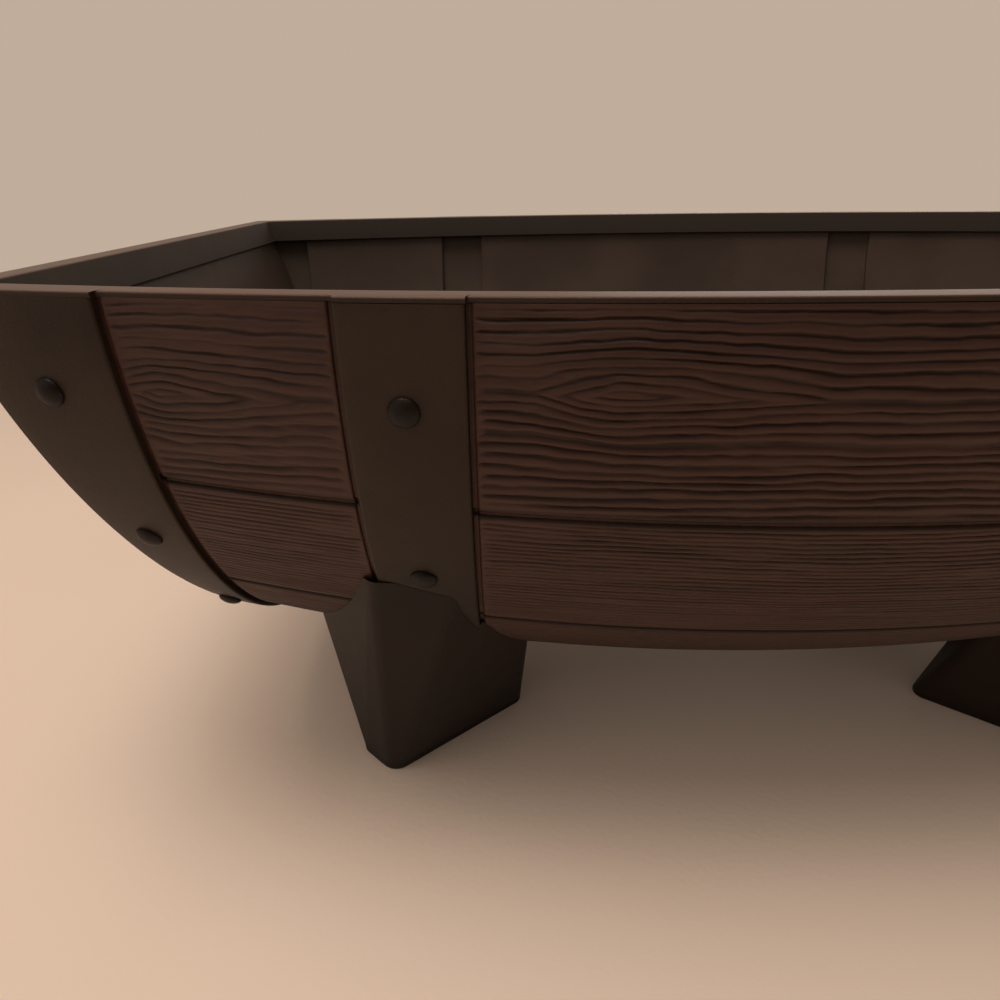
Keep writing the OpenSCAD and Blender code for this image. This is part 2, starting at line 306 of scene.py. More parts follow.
def boardFinish():
    skin = boardSkin
    f = Finish("board_plastic_look", IOR=skin["ior"])
    grain = f.attribute("grain")
    streak, patch, speck = (f.noise(*skin[key]) for key in ("streak", "patch", "speck"))
    face = f.blend(streak.step(*skin["streakFade"]), skin["face"], skin["ridge"])
    face = f.blend(patch.step(*skin["patchFade"]) * skin["tintShare"], face, skin["tint"])
    # painted shade: the colour darkens toward the valley colour wherever the grain value is low, in the
    # relief's valleys and, through the same value, in the grooves and laps
    valley = 1.0 - grain.step(*skin["valleyFade"])
    colour = f.blend(valley * skin["valleyPaintedShadeShare"], face, skin["valley"])
    colour = f.blend(speck.step(*skin["speckFade"]) * skin["speckShare"], colour, skin["valley"])
    # painted shade: darker toward the floor, where the barrel's underside is in shade
    under = 1.0 - f.axis("Z").step(*skin["bellyPaintedShadeHeights"])
    colour = f.blend(under * skin["bellyPaintedShadeShare"], colour, skin["valley"])
    least, inStreak, inValley = skin["roughness"]
    roughness = least + streak * inStreak + (1.0 - grain) * inValley
    relief = speck * skin["speckRelief"] + streak * skin["streakRelief"]
    return f.finish(colour, roughness, relief, skin["bump"])


# Dark plastics: the two colours that the clouds go between, the middle roughness and the refractive index.
darkSkin = {
    "tub": (rgb(61, 48, 39), rgb(72, 57, 47), 0.62, 1.36),
    "rim": (rgb(66, 41, 28), rgb(77, 49, 35), 0.42, 1.36),
    "hoop": (rgb(43, 32, 24), rgb(53, 41, 31), 0.45, 1.28),
    "foot": (rgb(25, 17, 12), rgb(33, 22, 15), 0.52, 1.28),
    "rivet": (rgb(21, 14, 9), rgb(29, 20, 14), 0.46, 1.30),
}
darkDetail = {
    "cloud": (14.0, even, 3.0, 0.55),
    "cloudFade": (0.3, 0.7),
    "pebbles": 1400.0,
    "flow": (120.0, (0.3, 1.0, 1.0), 3.0, 0.6),
    "dustGrain": (420.0, even, 2.0, 0.7),
    "dustFade": (0.66, 0.82),
    "roughness": (-0.08, 0.12, 0.08),  # added: always, with the clouds and the flow
    "lipFade": (0.55, 1.0),
    # painted shade: the rim's inner collar and outer side are coloured darker than its top
    "collar": rgb(54, 45, 37),  # the rim's inner side
    "lipEdgePaintedShade": rgb(46, 33, 22),  # the rim's outer side
    "collarDull": 0.34,  # how much rougher than the lip the collar is
    # painted shade: the hoops darken toward this colour between two heights, near the floor
    "hoopPaintedShade": rgb(29, 20, 14),  # the hoops darken toward this between two heights
    "hoopPaintedShadeShare": 0.75,
    "hoopPaintedShadeHeights": (0.10, 0.19),
    "dust": rgb(66, 51, 41),
    "dustShare": 0.3,
    "pebbleRelief": 0.6,
    "flowRelief": 0.8,
    "bump": 0.00012,
}


def darkFinish(part, label=None):
    # soft clouds in the colour and the shine, a fine pebbled skin and faint flow lines
    low, high, rough, ior = darkSkin[part]
    detail = darkDetail
    f = Finish(part + "_plastic_look", IOR=ior)
    cloud, flow, dust = (f.noise(*detail[key]) for key in ("cloud", "flow", "dustGrain"))
    skin = f.cells(detail["pebbles"])
    colour = f.blend(cloud.step(*detail["cloudFade"]), low, high)
    always, inCloud, inFlow = detail["roughness"]
    roughness = rough + always + cloud * inCloud + flow * inFlow
    if label:
        # 1 is the top of the lip, a half its outer edge and 0 the duller collar inside; the edge and collar
        # colours are painted shade, darker than the top
        lip = f.attribute(label)
        under = f.blend(lip.step(0.0, 0.5), detail["collar"], detail["lipEdgePaintedShade"])
        colour = f.blend(lip.step(*detail["lipFade"]), under, colour)
        roughness = roughness + (1.0 - lip) * detail["collarDull"]
    # painted shade: the hoops darken toward the floor, where the barrel's underside is in shade
    if part == "hoop":
        shade = 1.0 - f.axis("Z").step(*detail["hoopPaintedShadeHeights"])
        colour = f.blend(shade * detail["hoopPaintedShadeShare"], colour, detail["hoopPaintedShade"])
    colour = f.blend(dust.step(*detail["dustFade"]) * detail["dustShare"], colour, detail["dust"])
    relief = skin * detail["pebbleRelief"] + flow * detail["flowRelief"]
    return f.finish(colour, roughness, relief, detail["bump"])


steelSkin = {
    "colours": (rgb(186, 184, 178), rgb(150, 146, 138)),
    "brushed": (900.0, (1.0, 0.2, 1.0), 3.0, 0.6),
    "spots": (240.0, even, 3.0, 0.6),
    "spotFade": (0.4, 0.75),
    "roughness": (0.25, 0.25),  # at least, and with the spots
    "bump": 0.00004,
}


def steelFinish():
    f = Finish("screw_steel_look", Metallic=1.0)
    brushed, spots = f.noise(*steelSkin["brushed"]), f.noise(*steelSkin["spots"])
    colour = f.blend(spots.step(*steelSkin["spotFade"]), *steelSkin["colours"])
    least, inSpots = steelSkin["roughness"]
    return f.finish(colour, least + spots * inSpots, brushed, steelSkin["bump"])


boardLook = boardFinish()
print("materials ready")

# Grain: lines that run along a board, wander a little and part round the knots.
grainLines = {
    "wave": {"left": 0.0043, "middle": 0.0036, "right": 0.0040},  # from one valley to the next
    "fineWave": 0.0024,
    "depth": (0.00095, 0.00070),  # of the coarse and of the fine valleys
    "leftShare": 0.8,  # the left bay's valleys are this much shallower
    "coarseRows": (1, 4, 6, 9),
    # seed step, reach, and length along and across of each wander, for valleys 3.6 mm apart
    "wander": ((1, 0.0024, 0.080, 0.034), (2, 0.0009, 0.060, 0.0065),
               (7, 0.00055, 0.014, 0.006), (9, 0.00030, 0.0052, 0.0035)),
    "wanderWave": 0.0036,
    "knotEye": 0.0009,  # rounds the lines across a knot
    "knotTip": 0.0030,  # and along it
    "knotSpread": 1.7,
    "eyeFade": 0.004,
    "valleyWidth": 0.24,
    "ridgeRound": 0.26,
    # strength of the valleys: middle value, then (seed step, amount, length) of its two changes
    "strength": (0.80, (3, 0.34, 0.042), (5, 0.16, 0.013)),
    "strengthLimits": (0.2, 1.05),
    "scratches": 0.32,  # depth of the short lines between, as a share
    "scratchSize": (0.007, 0.0012),
    "scratchPatch": (0.050, 0.030, 0.25),
    # a board without knots of its own gets one or two: room at its ends, then the limits
    "knotMargin": 0.02,
    "knotAcross": (0.25, 0.75),  # as a share of the board's width
    "knotReach": (0.025, 0.055),
    "knotPush": (0.007, 0.010),
    # x, distance from the upper edge, reach to the left and to the right, how far lines are pushed aside
    "frontKnots": {
        ("middle", 1): [(-0.0875, 0.0276, 0.022, 0.056, 0.0088), (0.070, 0.0430, 0.046, 0.028, 0.0080)],
        ("left", 1): [(-0.2270, 0.0310, 0.020, 0.042, 0.0100)],
        ("right", 1): [(0.2050, 0.0330, 0.030, 0.026, 0.0085)],
    },
}


def pickKnots(seed, x, width):
    g, rng = grainLines, np.random.default_rng(seed)
    low, high = x.min() + g["knotMargin"], x.max() - g["knotMargin"]
    return [(rng.uniform(low, high), rng.uniform(*g["knotAcross"]) * width, rng.uniform(*g["knotReach"]),
             rng.uniform(*g["knotReach"]), rng.uniform(*g["knotPush"]))
            for _ in range(int(rng.integers(1, 3)))]


def grainField(bay, row, x, s, width):
    # the flow is the distance across the board, less a tent over each knot that falls off along the
    # board and across it; a valley lies wherever the flow is a whole number of waves, so the lines part
    # at a point, run round the knot and leave rings inside. Its depth is an exponential of minus the
    # squared sine, with a little of the squared sine itself to round the ridges
    g = grainLines
    coarse = row in g["coarseRows"]
    wave = g["wave"][bay] if coarse else g["fineWave"]
    fullDepth = g["depth"][0 if coarse else 1]
    depth = fullDepth * (g["leftShare"] if bay == "left" else 1.0)
    seed = 1000 * ("left", "middle", "right").index(bay) + 17 * row  # every board has its own
    knots = g["frontKnots"].get((bay, row), [])
    if coarse and not knots:
        knots = pickKnots(seed + 5, x, width)
    warp = sum(reach * fieldNoise(seed + more, x / along, s / across)
               for more, reach, along, across in g["wander"])
    warp = warp * wave / g["wanderWave"]
    base = knots[0][1] if knots else 0.0
    flow = s + warp - base
    eye, tip = g["knotEye"], g["knotTip"]
    for atX, atS, leftward, rightward, push in knots:
        centre = round((atS - base) / wave) * wave  # the line that parts at the knot
        away = flow - centre
        size = np.sqrt(away ** 2 + eye ** 2) - eye
        run = (np.sqrt((x - atX) ** 2 + tip ** 2) - tip) / np.where(x < atX, leftward, rightward)
        tent = push * np.clip(1.0 - run, 0.0, 1.0) * np.exp(-size / (g["knotSpread"] * push))
        rest = np.sign(away) * eye * smooth(0.0, g["eyeFade"], size)
        flow = centre + np.sign(away) * (size - tent) + rest
    squared = np.sin(np.pi * flow / wave) ** 2
    rounded = g["ridgeRound"]
    ridge = (1.0 - rounded) * (1.0 - np.exp(-squared / g["valleyWidth"])) + rounded * squared
    # each valley has its own strength, which comes and goes along it
    valley = np.round(flow / wave)
    strength, *changes = g["strength"]
    for more, amount, length in changes:
        strength = strength + amount * fieldNoise(seed + more, x / length, valley)
    along, across = g["scratchSize"]
    scratch = np.clip(fieldNoise(seed + 4, x / along, s / across), 0.0, 1.0)
    along, across, more = g["scratchPatch"]
    scratch = scratch * np.clip(fieldNoise(seed + 8, x / along, s / across) + more, 0.0, 1.0)
    drop = depth * (np.clip(strength, *g["strengthLimits"]) * (1.0 - ridge) + g["scratches"] * scratch)
    # the second value is 1 on the ridges and lower in the valleys; the board colour uses it for painted
    # shade
    return drop, np.clip(1.0 - drop / fullDepth, 0.0, 1.0)


# Facing boards: each is a slice of the face with its grain pressed into it.
boards = {
    "count": 9,
    "thickness": 0.004,
    "groove": 0.0026,
    "endGap": 0.0017,
    "topTurn": 0.00168 / 0.205,  # just clear of the flange
    "edgeRound": 0.0013,
    "rimEdge": 0.0004,
    "endRound": 0.0010,
    "lap": 0.0013,  # depth of the thin laps that close the grooves
    "endLap": 0.0008,
    "lapGap": 0.00012,
    "lapSteps": 9,
    "edgeShares": (0.0, 0.10, 0.28, 0.55, 0.8, 1.0),  # points in a rounded edge
    "underRows": range(3, 8),  # these have coarser points
    "sink": 0.00002,  # keeps the face just inside the solids' own
    "across": (0.00033, 0.00050),  # point spacing on the sides and underneath
    "along": (0.0014, 0.0024),
    "ragged": (0.0012, 0.0020),  # how unevenly the grain starts at the ends, and how often
    "endFade": (0.0004, 0.0032),
    "edgeFade": (0.0006, 0.0026),
    # painted shade in the grooves: near, far and how much the grain value drops at a board's edge
    "groovePaintedShade": (0.0004, 0.0026, 0.85),
    # the laps at the bottom of the grooves get fixed grain values, a painted shade a little darker than the
    # faces
    "lapPaintedShade": 0.55,  # grain value in the grooves' laps
    "endLapPaintedShade": 0.62,  # and in the ends' laps
    "crease": 40.0,
}
drains = {
    "spots": [(-0.08, 0.0), (0.0, 0.0), (0.08, 0.0)],
    "diameter": 0.010,
    "sides": 32,
    "turn": 0.03,  # keeps the corners off the grid's own lines
    "heights": (0.010, 0.060),
}


def edgeDrop(distance, size):
    # quarter circle of the given size at an edge, zero farther in
    d = np.clip(distance, 0.0, size)
    return size - np.sqrt(np.clip(size ** 2 - (size - d) ** 2, 0.0, None))


def spacedFromEnds(total, fine, step):
    # distances from 0 to total: a few close ones in each rounded edge, even steps between
    start = np.array(boards["edgeShares"]) * fine
    count = max(2, int(round((total - 2 * fine) / step)))
    middle = np.linspace(fine, total - fine, count + 1)[1:-1]
    return np.concatenate([start, middle, total - start[::-1]])


def boardRing(row):
    # angles once round a board's section, and for each 0 on the face, 1 on a lap and 2 on the back
    turn, radius = pi / boards["count"], midRadius
    top, half = boards["topTurn"], boards["groove"] / radius / 2
    first, last = row == 1, row == boards["count"]
    low = -pi / 2 + (row - 1) * turn + (top if first else half)
    high = -pi / 2 + row * turn - (top if last else half)
    under = 1 if row in boards["underRows"] else 0
    spaced = spacedFromEnds((high - low) * radius, boards["edgeRound"], boards["across"][under])
    front = low + spaced / radius
    # under the rounded edges a thin lap reaches to the middle of each groove
    lapLow = low if first else -pi / 2 + (row - 1) * turn + boards["lapGap"] / radius
    lapHigh = high if last else -pi / 2 + row * turn - boards["lapGap"] / radius
    back = np.linspace(lapHigh, lapLow, boards["lapSteps"])
    angle = np.concatenate([front, [high, lapHigh], back, [lapLow, low]])
    side = np.concatenate([np.zeros(len(front)), [1, 1], np.full(len(back), 2), [1, 1]])
    return angle, side, low, high, under


def boardShape(bay, row):
    angle, side, low, high, under = boardRing(row)
    radius = midRadius
    width = (high - low) * radius
    inner = hoopX - hoopHalf - boards["endGap"]
    outer = hoopX + hoopHalf + boards["endGap"]
    leaning = leaningX(endHoopX - boards["endGap"], hoopLean, angle)
    inner, outer = np.full_like(angle, inner), np.full_like(angle, outer)
    start, end = {"left": (-leaning, -outer), "middle": (-inner, inner), "right": (outer, leaning)}[bay]
    nominal = float(np.mean(end - start))
    along = spacedFromEnds(nominal, boards["endRound"], boards["along"][under]) / nominal
    x = start + along[:, None] * (end - start)
    lapReach = boards["endGap"] - boards["lapGap"]
    x = np.concatenate([x[:1] - lapReach, x[:1], x, x[-1:], x[-1:] + lapReach])
    inLap = np.zeros(len(x), dtype=bool)
    inLap[[0, 1, -2, -1]] = True
    angles = np.broadcast_to(angle, x.shape)
    across = (angles - low) * radius  # distance from the upper edge
    fromEnd = np.minimum(x - start, end - x)
    fromEdge = np.minimum(across, width - across)
    lowRound = boards["rimEdge"] if row == 1 else boards["edgeRound"]
    highRound = boards["rimEdge"] if row == boards["count"] else boards["edgeRound"]
    rounding = edgeDrop(across, lowRound) + edgeDrop(width - across, highRound)
    drop, grain = grainField(bay, row, x, across, width)
    reach, often = boards["ragged"]
    ragged = reach * fieldNoise(31 * row + 7 * len(bay), x * 0.0, across / often)
    fade = smooth(*boards["endFade"], fromEnd - ragged) * smooth(*boards["edgeFade"], fromEdge)
    off = -drop * fade - rounding - edgeDrop(fromEnd, boards["endRound"]) - boards["sink"]
    off = np.where(side > 0.5, np.minimum(-boards["lap"], off), off)
    off = np.where(inLap[:, None], np.minimum(-boards["endLap"], off), off)
    off = np.where(side > 1.5, -boards["thickness"], off)
    # painted shade: the grain value, and with it the colour, drops toward the board's edges into the
    # grooves
    near, far, share = boards["groovePaintedShade"]
    inGroovePaintedShade = share * (1.0 - smooth(near, far, fromEdge))
    if row in (1, boards["count"]):
        # no groove at the rim
        inGroovePaintedShade = np.where((across < width / 2) == (row == 1), 0.0, inGroovePaintedShade)
    grain = (1.0 - (1.0 - grain) * fade) * (1.0 - inGroovePaintedShade)
    # the laps take their fixed painted-shade values
    grain = np.where(side > 0.5, boards["lapPaintedShade"], np.where(inLap[:, None], boards["endLapPaintedShade"], grain))
    return onBarrel(x, angles, off), grain


def drillDrains(piece):
    # round holes straight up through a piece, cut by one Boolean that is applied at once
    sides = drains["sides"]
    ring = fullTurn(sides) + drains["turn"]
    points, quads, caps = [], [], []
    for number, (x, y) in enumerate(drains["spots"]):
        half, first = drains["diameter"] / 2, 2 * sides * number
        circle = np.stack([x + half * np.cos(ring), y + half * np.sin(ring)], -1)
        points += [np.column_stack([circle, np.full(sides, z)]) for z in drains["heights"]]
        quads.append(gridQuads(2, sides, True) + first)
        caps += [cap + first for cap in endRings(2, sides)]
    points, quads = np.concatenate(points), np.concatenate(quads)
    cutter = addPiece("cutter", points, quads, caps, piece.data.materials[0])
    cut = piece.modifiers.new("holes", "BOOLEAN")
    cut.object, cut.solver = cutter, "MANIFOLD"
    shaped = bpy.data.meshes.new_from_object(piece.evaluated_get(bpy.context.evaluated_depsgraph_get()))
    piece.modifiers.clear()
    piece.data = shaped
    bpy.data.objects.remove(cutter)


for bay in ("left", "middle", "right"):
    for row in range(1, boards["count"] + 1):
        points, grain = boardShape(bay, row)
        name = f"{bay}_board_{row}"
        piece = addPiece(name + "_grained", *closedGrid(points), boardLook, boards["crease"],
                         {"grain": grain})
        if bay == "middle" and 2 * row == boards["count"] + 1:
            drillDrains(piece)  # the bottom board
        takePlace(piece, "board_plastic", name)
print("boards ready")

# Hoops: one cross-section with rounded edges carried around the barrel.
hoops = {
    "thickness": 0.0025,
    "edgeRound": 0.0011,
    "crown": 0.00012,  # the outer face is a little higher in the middle
    "faceShares": (0.15, 0.3, 0.5, 0.7, 0.85),
    "backShares": (1.0, 0.66, 0.33, 0.0),
    "bend": 6,  # points in a rounded edge
    "steps": 120,
    "topTurn": 0.00168 / 0.19,
}


def hoopSection():
    # (share of the width, distance from that edge, height off the hoop's outer face)
    bend = np.linspace(0.0, pi / 2, hoops["bend"])
    size = hoops["edgeRound"]
    rise = [(0.0, size * (1 - cos(t)), -size * (1 - sin(t))) for t in bend]
    flat = [(w, 0.0, hoops["crown"] * (1 - (2 * w - 1) ** 2)) for w in hoops["faceShares"]]
    fall = [(1.0, -inset, height) for _, inset, height in rise[::-1]]
    under = [(w, 0.0, -hoops["thickness"]) for w in hoops["backShares"]]
    return np.array(rise + flat + fall + under)


def hoopPiece(name, side, planes, material):
    # an edge lies in a plane that meets the rim at x and leans; a left hoop is a right one's mirror image
    section = hoopSection()
    gap = hoops["topTurn"]
    angle = np.linspace(-pi / 2 + gap, pi / 2 - gap, hoops["steps"] + 1)[:, None]
    low, high = (side * leaningX(*plane, angle, hoopFace) for plane in planes[::side])
    x = low * (1 - section[:, 0]) + high * section[:, 0] + section[:, 1]
    off = np.broadcast_to(hoopFace - hoops["crown"] + section[:, 2], x.shape)
    points = onBarrel(x, np.broadcast_to(angle, x.shape), off)
    takePlace(addPiece(name + "_band", *closedGrid(points), material), "hoop_plastic", name)


hoopLook = darkFinish("hoop")
upright = ((hoopX - hoopHalf, 0.0), (hoopX + hoopHalf, 0.0))
leaning = ((endHoopX, hoopLean), (halfLength, endLean))
hoopPiece("left_hoop", -1, upright, hoopLook)
hoopPiece("right_hoop", 1, upright, hoopLook)
hoopPiece("right_end_hoop", 1, leaning, hoopLook)
hoopPiece("left_end_hoop", -1, leaning, hoopLook)
print("hoops ready")

# Rivets: a domed head with a low rolled edge, turned about its own line.
rivets = {
    "width": 0.010,
    "height": 0.0026,
    "edge": 0.0003,  # the rolled edge
    "domePower": 1.15,  # above 1 makes the dome's flanks lower
    "shank": 0.004,
    "reach": 0.005,
    "bend": 12,  # points from the top of the dome to its edge
    "turns": 40,
    "innerHoop": (-80.7, -60, 0, 60, 80.7),  # degrees from straight down
    "endHoop": (-80, -60, -40, 40, 60, 80),
    "beltShare": 0.7,  # of the bulge: where the end hoops' middle is taken
    "crease": 50.0,
}


def rivetSection():
    # (distance from the rivet's line, height): a flattened dome, a short rolled edge and the shank
    bend = np.linspace(0.0, 1.0, rivets["bend"])
    radius, shank, reach, edge = rivets["width"] / 2, rivets["shank"] / 2, rivets["reach"], rivets["edge"]
    rise = (rivets["height"] - edge) * np.cos(bend * pi / 2) ** rivets["domePower"]
    dome = np.stack([radius * np.sin(bend * pi / 2), edge + rise], -1)
    dome[0, 0] = 0.0
    return np.concatenate([dome, [[radius, 0.0], [shank, 0.0], [shank, -reach], [0.0, -reach]]])


def rivetGroup(name, spots, material):
    # each rivet's line is the barrel's outward direction at its spot
    section = rivetSection()
    around = fullTurn(rivets["turns"])
    pointsAll, quadsAll = [], []
    for x, degrees in spots:
        angle, tilt = radians(degrees), asin(x / arcRadius)
        back, down = sin(angle), cos(angle)
        out = np.array([sin(tilt), cos(tilt) * back, -cos(tilt) * down])
        along = np.array([cos(tilt), -sin(tilt) * back, sin(tilt) * down])
        across = np.cross(out, along)
        # the spot on the hoop's face in the direction of the rivet's line
        centre = np.array([0.0, 0.0, rimZ])
        centre = centre + (midRadius - arcRadius) * np.array([0.0, back, -down])
        seat = centre + (arcRadius + hoopFace) * out
        radial = np.cos(around)[:, None] * along + np.sin(around)[:, None] * across
        points = seat + section[None, :, 0, None] * radial[:, None, :] + section[None, :, 1, None] * out
        quads = gridQuads(rivets["turns"] + 1, len(section)) % (rivets["turns"] * len(section))
        quadsAll.append(quads + sum(len(p) for p in pointsAll))
        pointsAll.append(points.reshape(-1, 3))
    piece = addPiece(name + "_domes", np.concatenate(pointsAll), np.concatenate(quadsAll), (),
                     material, rivets["crease"])
    takePlace(piece, "rivet_plastic", name)


def endRivetX(degrees):
    # middle of the end hoop's width at that angle
    depth = (midRadius - rivets["beltShare"] * barrel["bulge"]) * cos(radians(degrees))
    return (endHoopX + halfLength - (hoopLean + endLean) * depth) / 2


rivetLook = darkFinish("rivet")
for word, side in (("left", -1), ("right", 1)):
    rivetGroup(word + "_rivets", [(side * hoopX, d) for d in rivets["innerHoop"]], rivetLook)
    rivetGroup(word + "_end_rivets", [(side * endRivetX(d), d) for d in rivets["endHoop"]], rivetLook)
print("rivets ready")

# Feet: a rounded sole outline joined straight to a wider top outline, saddled to the barrel.
feet = {
    # corners of the two outlines: x, distance to the front or back, radius
    "sole": [(0.1768, 0.1151, 0.0085), (0.1876, 0.1064, 0.0070),
             (0.1196, 0.0684, 0.0070), (0.150, 0.061, 0.0070)],
    "top": [(0.1672, 0.1660, 0.0075), (0.1402, 0.1664, 0.009), (0.2065, 0.1160, 0.007),
            (0.1145, 0.152, 0.007), (0.150, 0.096, 0.007)],
    "topDepth": 0.1074,  # of the top outline below the rim
    "footPad": 0.003,  # upright part above the sole
    "soleRound": 0.0016,
    "bend": 5,
    "clear": 0.00008,  # between the saddle and the barrel
    "hoopMargin": 0.0003,
    "directions": 128,
    "edgeStep": 0.0015,
    "levels": 40,
    "searchTop": 0.21,  # the saddle lies below this height
    "searchSteps": 40,
    "stretch": 1.6,  # the sides may go on this far past the top outline
    "lidShares": (0.8, 0.6, 0.4, 0.2, 0.02),
    "crease": 24.0,
}


def roundedOutline(corners, normals):
    # the point farthest out in each direction: the best corner's centre plus its radius
    corners = np.array(corners)
    reach = normals @ corners[:, :2].T + corners[:, 2]
    best = reach.argmax(axis=1)
    return corners[best, :2] + corners[best, 2:3] * normals


def footOutlines():
    # sole, top and outward direction; straight stretches are cut into short steps
    turn = fullTurn(feet["directions"])
    normals = np.stack([np.cos(turn), np.sin(turn)], -1)
    sole, top = roundedOutline(feet["sole"], normals), roundedOutline(feet["top"], normals)
    soleNext, topNext, normalNext = np.roll(sole, -1, 0), np.roll(top, -1, 0), np.roll(normals, -1, 0)
    longer = np.maximum(np.linalg.norm(soleNext - sole, axis=1), np.linalg.norm(topNext - top, axis=1))
    steps = np.maximum(1, np.ceil(longer / feet["edgeStep"])).astype(int)
    share = np.concatenate([np.arange(n) / n for n in steps])[:, None]
    pick = np.repeat(np.arange(len(steps)), steps)
    return [now[pick] * (1 - share) + after[pick] * share
            for now, after in ((sole, soleNext), (top, topNext), (normals, normalNext))]


def footPiece(name, side, face, material):
    sole, top, normals = footOutlines()
    soleZ, topZ = feet["footPad"], rimZ - feet["topDepth"]

    def ruling(height):
        # straight line between the outlines, upright below the sole's pad
        t = np.clip((height - soleZ) / (topZ - soleZ), 0.0, feet["stretch"])
        return sole + (top - sole) * t[..., None]

    def inside(height):
        p = ruling(height)
        near = np.abs(p[:, 0] - hoopX) < hoopHalf + feet["hoopMargin"]
        layer = np.where(near, hoopFace, 0.0) + feet["clear"]
        return np.hypot(p[:, 1], rimZ - height) < faceRadius(p[:, 0], layer)

    # the saddle's height is found by halving
    low, high = np.zeros(len(sole)), np.full(len(sole), feet["searchTop"])
    for _ in range(feet["searchSteps"]):
        middle = (low + high) / 2
        under = ~inside(middle)
        low, high = np.where(under, middle, low), np.where(under, high, middle)
    seam = np.minimum(low, topZ)
    size = feet["soleRound"]
    levels = [(sole - normals * size * (1 - sin(t)), np.full(len(sole), size * (1 - cos(t))))
              for t in np.linspace(0.0, pi / 2, feet["bend"])]
    for share in np.linspace(0.0, 1.0, feet["levels"])[1:]:
        height = size + (seam - size) * share
        levels.append((ruling(height), height))
    outline = levels[-1][0]
    centre = outline.mean(axis=0)
    for share in feet["lidShares"]:
        # the hidden top follows the underside of the barrel
        flat = centre + (outline - centre) * share
        r = faceRadius(flat[:, 0], feet["clear"])
        height = rimZ - np.sqrt(np.clip(r ** 2 - flat[:, 1] ** 2, 0.0, None))
        levels.append((flat, np.minimum(height, seam.max())))
    points = np.array([np.column_stack([p, h]) for p, h in levels]) * np.array([side, face, 1.0])
    piece = addPiece(name + "_block", *closedGrid(points), material, feet["crease"])
    takePlace(piece, "foot_plastic", name)


footLook = darkFinish("foot")
for word, face in (("front", -1), ("back", 1)):
    for hand, side in (("left", -1), ("right", 1)):
        footPiece(f"{word}_{hand}_foot", side, face, footLook)
print("feet ready")

# End panels: five planks of the same grained moulding, let into each end.
heads = {
    "rimGap": 0.0066,  # in from the boards' face
    "thickness": 0.0039,
    "setBack": 0.0003,
    "top": 0.0021,  # depth where the panel starts
    "bottomX": 0.232,
    "bottomGap": 0.0005,
    "plank": 0.214 / 5,
    "plankShift": 0.031,  # moves each plank's grain on from the last one's
    "groove": 0.0028,
    "grooveDepth": 0.0018,
    "grooveFlanks": (0.30, 0.75),
    # painted shade in the grooves between planks, as a share of the darkening
    "groovePaintedShade": 0.9,
    "grainShare": 0.8,
    "edgeFade": (0.0014, 0.004),
    "sideFade": (0.001, 0.008),
    "down": 0.00042,  # point spacing
    "columns": 190,
    "crease": 40.0,
}


def headPiece(name, side):
    deepest = float(faceRadius(heads["bottomX"], -heads["rimGap"])) - heads["bottomGap"]
    depth = np.append(np.arange(heads["top"], deepest, heads["down"]), deepest)
    x = halfLength - heads["setBack"] - endLean * depth
    half = np.sqrt(np.clip(faceRadius(x, -heads["rimGap"]) ** 2 - depth ** 2, 1e-8, None))
    y = half[:, None] * np.linspace(-1.0, 1.0, heads["columns"])[None, :]
    deep = np.broadcast_to(depth[:, None], y.shape)
    plank = heads["plank"]
    inPlank = np.mod(deep, plank)
    toGroove = np.minimum(inPlank, plank - inPlank)
    toGroove = np.where(deep < plank / 2, plank - inPlank, toGroove)  # none at the rim
    shifted = y + heads["plankShift"] * np.floor(deep / plank)
    drop, grain = grainField("left" if side < 0 else "right", 1, shifted, inPlank, plank)
    fade = smooth(*heads["edgeFade"], toGroove) * smooth(*heads["sideFade"], half[:, None] - np.abs(y))
    inner, outer = (heads["groove"] * share for share in heads["grooveFlanks"])
    cut = heads["grooveDepth"] * (1.0 - smooth(inner, outer, toGroove))
    lift = -drop * fade * heads["grainShare"] - cut
    outward = np.array([1.0, 0.0, -endLean]) / hypot(1.0, endLean)
    face = np.stack([np.broadcast_to(x[:, None], y.shape), y, rimZ - deep], -1)
    front = face + lift[..., None] * outward
    back = face - heads["thickness"] * outward
    # the back is one flat face on the outline's points
    rows, columns = y.shape
    index = np.arange(rows * columns).reshape(rows, columns)
    edge = np.concatenate([index[0], index[1:, -1], index[-1, -2::-1], index[-2:0:-1, 0]])
    behind = np.arange(len(edge)) + rows * columns
    sideQuads = np.stack([np.roll(edge, -1), edge, behind, np.roll(behind, -1)], -1)
    points = np.concatenate([front.reshape(-1, 3), back.reshape(-1, 3)[edge]]) * np.array([side, 1.0, 1.0])
    # painted shade: the grain value darkens in the relief's valleys and in the grooves between planks
    shades = (1.0 - (1.0 - grain) * fade) * (1.0 - heads["groovePaintedShade"] * cut / heads["grooveDepth"])
    shades = np.concatenate([shades.reshape(-1), np.ones(len(edge))])
    quads = np.concatenate([gridQuads(rows, columns), sideQuads])
    piece = addPiece(name + "_planks", points, quads, (behind,), boardLook, heads["crease"],
                     {"grain": shades})
    takePlace(piece, "board_plastic", name)


headPiece("left_head", -1)
headPiece("right_head", 1)
print("end panels ready")

